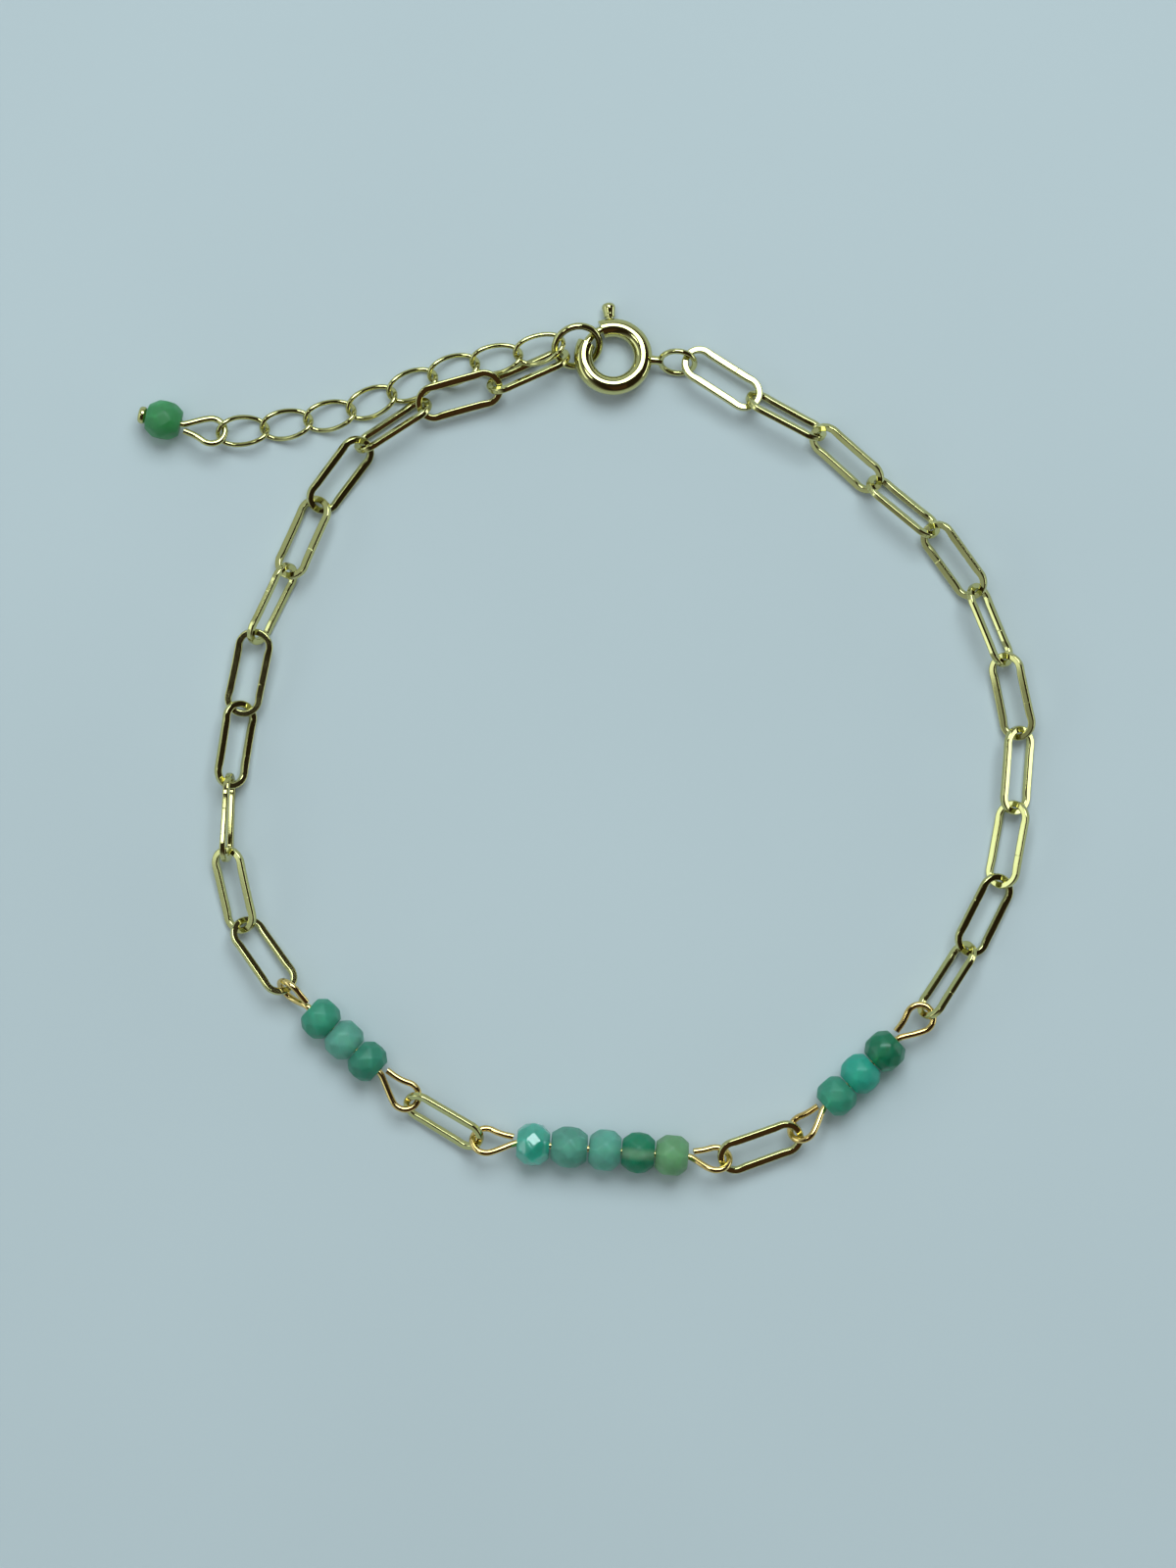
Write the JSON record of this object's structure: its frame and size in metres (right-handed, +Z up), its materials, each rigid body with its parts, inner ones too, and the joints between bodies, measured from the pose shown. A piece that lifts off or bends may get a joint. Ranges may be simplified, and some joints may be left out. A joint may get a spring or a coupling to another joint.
{
  "type": "beaded chain bracelet",
  "caption": "Fastened gold chain bracelet of long drawn links, with bars of cut green beads, a spring ring clasp and a curb extender ending in a bead drop.",
  "frame": {"origin": "middle of the bounding box, on the surface that the bracelet lies on", "axes": "+Z up from the surface, +Y from the bead bars towards the clasp, +X to the right as it is seen from above"},
  "size_m": [0.0628, 0.0612, 0.0031],
  "materials": {
    "pale_gold": "polished gold, pale and slightly green",
    "warm_gold": "polished gold wire, warmer in tone",
    "bead_deep_green": "polished cut stone, milky and slightly see-through",
    "bead_teal": "polished cut stone, milky and slightly see-through",
    "bead_sea_green": "polished cut stone, milky and slightly see-through",
    "bead_pale_teal": "polished cut stone, milky and slightly see-through",
    "bead_leaf_green": "polished cut stone, milky and slightly see-through"
  },
  "bodies": {
    "bracelet": {"bar_centre_bead_1": "bead_leaf_green", "bar_centre_bead_2": "bead_deep_green", "bar_centre_bead_3": "bead_pale_teal", "bar_centre_bead_4": "bead_sea_green", "bar_centre_bead_5": "bead_teal", "bar_centre_wire": "warm_gold", "bar_left_bead_1": "bead_leaf_green", "bar_left_bead_2": "bead_pale_teal", "bar_left_bead_3": "bead_sea_green", "bar_left_wire": "warm_gold", "bar_right_bead_1": "bead_deep_green", "bar_right_bead_2": "bead_teal", "bar_right_bead_3": "bead_sea_green", "bar_right_wire": "warm_gold", "clasp_body": "pale_gold", "drop_bead_1": "bead_leaf_green", "drop_pin": "pale_gold", "end_ring": "pale_gold", "extender_link_1": "pale_gold", "extender_link_2": "pale_gold", "extender_link_3": "pale_gold", "extender_link_4": "pale_gold", "extender_link_5": "pale_gold", "extender_link_6": "pale_gold", "extender_link_7": "pale_gold", "extender_link_8": "pale_gold", "link_between_left": "pale_gold", "link_between_right": "pale_gold", "link_left_01": "pale_gold", "link_left_02": "pale_gold", "link_left_03": "pale_gold", "link_left_04": "pale_gold", "link_left_05": "pale_gold", "link_left_06": "pale_gold", "link_left_07": "pale_gold", "link_left_08": "pale_gold", "link_left_09": "pale_gold", "link_left_10": "pale_gold", "link_left_11": "pale_gold", "link_right_01": "pale_gold", "link_right_02": "pale_gold", "link_right_03": "pale_gold", "link_right_04": "pale_gold", "link_right_05": "pale_gold", "link_right_06": "pale_gold", "link_right_07": "pale_gold", "link_right_08": "pale_gold", "link_right_09": "pale_gold", "link_right_10": "pale_gold", "link_right_11": "pale_gold"},
    "trigger": {"clasp_trigger": "pale_gold"}
  },
  "joints": [
    {"name": "trigger_slide_round", "type": "hinge", "parent": "bracelet", "child": "trigger", "pos_m": [0.00187, 0.02681, 0.00117], "axis": [0.0151, 0.173, 0.9848], "range_deg": [-46, 0], "stiffness_Nm_per_rad": 0.002, "springref_deg": 11.46}
  ]
}
